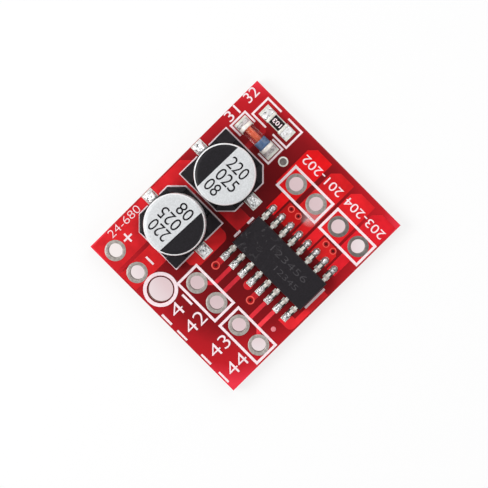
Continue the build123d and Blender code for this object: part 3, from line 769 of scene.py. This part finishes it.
def drawn_can(name, material, rim):
    """A can with a rounded rim and a rolled crimp, in the place of the CAD can."""
    node = name + "_capacitor_can"
    low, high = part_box(node)
    centre = (low + high) / 2
    radius = (high.x - low.x) / 2
    shape = bmesh.new()
    bmesh.ops.create_cone(
        shape, cap_ends=True, segments=128, radius1=radius, radius2=radius, depth=high.z - low.z
    )
    bmesh.ops.translate(shape, verts=shape.verts, vec=centre)
    groove = low.z + 0.95 * MM
    groove_low, groove_high = groove - 0.3 * MM, groove + 0.3 * MM
    for level in (groove_low, groove, groove_high):
        bmesh.ops.bisect_plane(
            shape, geom=shape.verts[:] + shape.edges[:] + shape.faces[:],
            plane_co=(0, 0, level), plane_no=(0, 0, 1),
        )
    ring = [v for v in shape.verts if abs(v.co.z - groove) < 0.01 * MM]
    share = (radius - 0.15 * MM) / radius
    bmesh.ops.scale(shape, verts=ring, vec=(share, share, 1), space=Matrix.Translation(-centre))
    for level, offset, segments in (
        (high.z, rim, 8), (groove, 0.12 * MM, 4),
        (groove_low, 0.08 * MM, 3), (groove_high, 0.08 * MM, 3),
    ):
        edges = [e for e in shape.edges if all(abs(v.co.z - level) < 0.01 * MM for v in e.verts)]
        bmesh.ops.bevel(
            shape, geom=edges, offset=offset, segments=segments, profile=0.5,
            affect="EDGES", material=-1,
        )
    for face in shape.faces:
        face.smooth = abs(face.normal.z) < 0.98
    finish_piece(name + "_capacitor_drawn_can", shape, material, "drawn_aluminium", node)


# The print on each can: the way its plus side faces, how far from its middle the black
# segment ends in metres, the slant of that line, and each number with its place across and
# along and its width, in mm
CAN_PRINTS = (
    ("left", 1, 0.96 * MM, 0.038,
     (("220", -1.46, 0.69, 2.33), ("025", 0.1, 0.73, 2.5), ("08", 1.68, 0.14, 1.7))),
    ("right", -1, 1.02 * MM, 0.016,
     (("220", -1.38, 0.54, 2.35), ("025", 0.24, 0.6, 2.45), ("08", 1.77, 0.04, 1.6))),
)


class MODULE_OT_capacitors(Operator):
    """Draw the two capacitor cans with their printed tops, and finish their bases and solder"""

    bl_idname = "module.capacitors"
    bl_label = "Capacitors"

    def execute(self, context):
        colours, sizes = settings()
        ink = vitreous_coat("can_printing_ink", "#1a181c", "#2c2a2f")
        nylon = nylon_base(colours)
        solder = reflowed_solder("reflowed_solder", colours.solder, 0.3 * MM, 0.7)
        tin = bpy.data.materials["matt_tin_plate"]
        for name, facing, chord, tilt, rows in CAN_PRINTS:
            low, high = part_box(name + "_capacitor_can")
            centre = (low + high) / 2
            radius = (high.x - low.x) / 2
            material = drawn_aluminium(name, colours, centre, radius, facing, chord, tilt, high.z)
            drawn_can(name, material, sizes.can_rim)
            levels = high.z - 0.005 * MM, high.z + 0.012 * MM
            for number, (words, across, along, width) in enumerate(rows, start=1):
                place = centre.x + facing * across * MM, centre.y + facing * along * MM
                printed(
                    f"{name}_can_number_{number}", words, place,
                    (width * MM, sizes.can_ink_height), facing * math.pi / 2, levels, 0.0, ink,
                    "drawn_aluminium",
                )
            softened(name + "_capacitor_base", nylon, "base_moulding", 0.06 * MM)
            softened(name + "_capacitor_solder", solder, "solder", 0.12 * MM, 3)
            softened(name + "_capacitor_terminals", tin, "tinned_lead", 0.03 * MM)
        return {"FINISHED"}


class MODULE_OT_chip(Operator):
    """Finish the driver chip's moulding, its leads and its solder, with faint numbers"""

    bl_idname = "module.chip"
    bl_label = "Driver chip"

    def execute(self, context):
        colours, _ = settings()
        softened("chip_body", epoxy_moulding(colours), "chip_moulding", 0.05 * MM)
        tin = bpy.data.materials["wetted_tin_plate_painted_reflection"]
        # Painted shade: the chip's solder is the same solder painted a quarter darker, with darker
        # sides
        solder = reflowed_solder(
            "fine_reflowed_solder", shade(colours.solder, 0.75), 0.24 * MM, 0.25
        )
        for side in ("left", "right"):
            softened("chip_leads_" + side, tin, "tinned_lead", 0.04 * MM)
            softened("chip_solder_" + side, solder, "solder", 0.09 * MM, 3)
        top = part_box("chip_body")[1].z
        levels = top - 0.01 * MM, top + 0.003 * MM
        mark = laser_mark()
        for name, words, place, size in (
            ("chip_number_1", "123456", mm(1.2, -5.2), mm(4.9, 0.72)),
            ("chip_number_2", "12345", mm(-0.05, -6.0), mm(3.1, 0.6)),
        ):
            printed(name, words, place, size, -math.pi / 2, levels, -0.01, mark, "chip_moulding")
        return {"FINISHED"}


class MODULE_OT_diode(Operator):
    """Finish the glass diode and its solder"""

    bl_idname = "module.diode"
    bl_label = "Glass diode"

    def execute(self, context):
        colours, _ = settings()
        low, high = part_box("diode_glass")
        plug = copper_clad_plug(colours, low.y, high.y)
        enamel = vitreous_coat("blue_band_enamel", "#3f5676", "#58739a")
        solder = bpy.data.materials["reflowed_solder"]
        softened("diode_glass", clear_glass(), "clear_glass", 0.03 * MM)
        softened("diode_plugs", plug, "copper_plug", 0.09 * MM, 3)
        softened("diode_band", enamel, "blue_ink", 0.006 * MM)
        softened("diode_solder", solder, "solder", 0.16 * MM, 4)
        paint("diode_die", vitreous_coat("silicon_die", "#3c3c44", "#5a5a64"))
        return {"FINISHED"}


class MODULE_OT_resistor(Operator):
    """Finish the chip resistor, with a plain number on its glaze"""

    bl_idname = "module.resistor"
    bl_label = "Chip resistor"

    def execute(self, context):
        alumina = vitreous_coat("fired_alumina", "#d0cdc6", "#e6e3dc")
        glaze = vitreous_coat("black_glass_glaze", "#1d1718", "#352b2c")
        tin, solder, ink = (
            bpy.data.materials[name] for name in ("matt_tin_plate", "reflowed_solder", "screen_ink")
        )
        softened("resistor_chip", alumina, "ceramic", 0.02 * MM)
        softened("resistor_glaze", glaze, "dark_glaze", 0.02 * MM)
        softened("resistor_ends", tin, "tinned_lead", 0.04 * MM)
        softened("resistor_solder", solder, "solder", 0.14 * MM, 4)
        low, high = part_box("resistor_glaze")
        place = (low.x + high.x) / 2, (low.y + high.y) / 2
        levels = high.z - 0.002 * MM, high.z + 0.01 * MM
        printed(
            "resistor_number", "103", place, mm(1.05, 0.5), math.pi / 2, levels, 0.02, ink,
            "white_ink",
        )
        return {"FINISHED"}


# White floor: plain diffuse card, which the camera, metal and glass see as white, while
# the part still shades it. Under the board, where it is seen through the holes, it is painted a
# rosy grey that darkens towards the middle: painted shade, tinted with painted red light from
# the mask. Its back is clear, so that the board's underside can be looked at.
def floor_material():
    material = bpy.data.materials.new("white_card")
    material.use_nodes = True
    tree = material.node_tree
    tree.nodes.clear()
    place = add_node(tree, "TexCoord").outputs["Object"]
    aside = add_node(tree, "VectorMath", (place,), operation="ABSOLUTE")
    axes = add_node(tree, "SeparateXYZ", (aside,)).outputs
    across = add_node(tree, "Math", (axes[0], 11.9 * MM), operation="LESS_THAN")
    along = add_node(tree, "Math", (axes[1], 10.3 * MM), operation="LESS_THAN")
    under = add_node(tree, "Math", (across, along), operation="MULTIPLY")
    away = add_node(tree, "VectorMath", (place,), operation="LENGTH").outputs["Value"]
    reach = add_node(tree, "Math", (away, 14 * MM), operation="DIVIDE")
    painted_rosy_shade = set_stops(
        add_node(tree, "ValToRGB", (reach,)),
        (0.5, linear("#dbc3c6")), (0.7, linear("#e5cdd0")), (0.84, linear("#f0e2e4")),
        (0.96, linear("#fbf1f0")),
    )
    tone = add_node(tree, "Mix", {0: under, 6: (1, 1, 1, 1), 7: painted_rosy_shade}, data_type="RGBA")
    path = add_node(tree, "LightPath").outputs
    seen = path["Is Camera Ray"]
    for ray in ("Is Glossy Ray", "Is Transmission Ray"):
        seen = add_node(tree, "Math", (seen, path[ray]), operation="MAXIMUM")
    # Under the board the painted tone takes the place of the floor's own shading
    strength = add_node(tree, "Math", (under, 0.2, 0.75), operation="MULTIPLY_ADD")
    share = add_node(tree, "Math", (seen, strength), operation="MULTIPLY")
    card = add_node(tree, "BsdfDiffuse", (linear("#f6f6f6"),))
    glow = add_node(tree, "Emission", (tone.outputs[2], 1.0))
    front = add_node(tree, "MixShader", (share, card, glow))
    back = add_node(tree, "NewGeometry").outputs["Backfacing"]
    mix = add_node(tree, "MixShader", (back, front, add_node(tree, "BsdfTransparent")))
    add_node(tree, "OutputMaterial", (mix,))
    return material


def soft_light(name, place, size, watts):
    """A square soft light that faces the module."""
    lamp = bpy.data.lights.new(name, "AREA")
    lamp.size = size
    lamp.energy = watts
    light = bpy.data.objects.new(name, lamp)
    light.location = place
    light.rotation_euler = (-Vector(place)).to_track_quat("-Z", "Y").to_euler()
    bpy.context.scene.collection.objects.link(light)


class MODULE_OT_stage(Operator):
    """Set up the floor, the lights and the camera"""

    bl_idname = "module.stage"
    bl_label = "Stage"

    def execute(self, context):
        scene = context.scene
        shape = bmesh.new()
        bmesh.ops.create_grid(shape, x_segments=1, y_segments=1, size=1.0)
        bmesh.ops.translate(shape, verts=shape.verts, vec=(0, 0, -0.01 * MM))
        mesh = bpy.data.meshes.new("floor")
        shape.to_mesh(mesh)
        shape.free()
        mesh.materials.append(floor_material())
        floor = bpy.data.objects.new("floor", mesh)
        scene.collection.objects.link(floor)

        world = bpy.data.worlds.new("studio")
        world.use_nodes = True
        tree = world.node_tree
        direction = add_node(tree, "TexCoord").outputs["Generated"]
        height = add_node(tree, "SeparateXYZ", (direction,)).outputs[2]
        walls = set_stops(
            add_node(tree, "ValToRGB", (height,)),
            (0.0, linear("#cccccc")), (0.5, linear("#ededed")), (0.8, linear("#7c7c7c")),
            (1.0, linear("#505050")),
        )
        camera_ray = add_node(tree, "LightPath").outputs["Is Camera Ray"]
        seen = add_node(tree, "Mix", {0: camera_ray, 6: walls, 7: (1, 1, 1, 1)}, data_type="RGBA")
        tree.links.new(seen.outputs[2], tree.nodes["Background"].inputs["Color"])
        scene.world = world
        soft_light("key_light", (-0.11, 0.12, 0.18), 0.14, 0.34)
        soft_light("fill_light", (0.16, 0.04, 0.20), 0.16, 0.16)
        soft_light("front_light", (0.03, -0.15, 0.14), 0.14, 0.06)

        lens = bpy.data.cameras.new("camera")
        lens.lens = 163.31
        lens.sensor_width = 36.0
        lens.clip_start = 0.01
        camera = bpy.data.objects.new("camera", lens)
        right = Vector((0.709473, -0.704572, -0.015014))
        up = Vector((0.703723, 0.709436, -0.038402))
        back = Vector((0.037709, 0.016679, 0.99915))
        axes = Matrix((right, up, back)).transposed().to_4x4()
        camera.matrix_world = Matrix.Translation((0.007941, 0.003322, 0.230)) @ axes
        scene.collection.objects.link(camera)
        scene.camera = camera
        scene.view_settings.view_transform = "Standard"
        return {"FINISHED"}


OPERATORS = (
    MODULE_OT_board, MODULE_OT_lettering, MODULE_OT_vias, MODULE_OT_capacitors,
    MODULE_OT_chip, MODULE_OT_diode, MODULE_OT_resistor, MODULE_OT_stage,
)


class MODULE_PT_sidebar(Panel):
    """The module's pieces, in the order in which they are finished"""

    bl_label = "Motor driver module"
    bl_idname = "MODULE_PT_sidebar"
    bl_space_type = "VIEW_3D"
    bl_region_type = "UI"
    bl_category = "Module"

    def draw(self, context):
        for operator in OPERATORS:
            self.layout.operator(operator.bl_idname)
        for group in (context.scene.module_colours, context.scene.module_sizes):
            for name in group.__annotations__:
                self.layout.prop(group, name)


CLASSES = (ModuleColours, ModuleSizes, *OPERATORS, MODULE_PT_sidebar)


def register():
    for item in CLASSES:
        bpy.utils.register_class(item)
    bpy.types.Scene.module_colours = PointerProperty(type=ModuleColours)
    bpy.types.Scene.module_sizes = PointerProperty(type=ModuleSizes)


def unregister():
    del bpy.types.Scene.module_sizes
    del bpy.types.Scene.module_colours
    for item in reversed(CLASSES):
        bpy.utils.unregister_class(item)


def main():
    register()
    for operator in OPERATORS:
        group, name = operator.bl_idname.split(".")
        getattr(getattr(bpy.ops, group), name)()


if __name__ == "__main__":
    main()
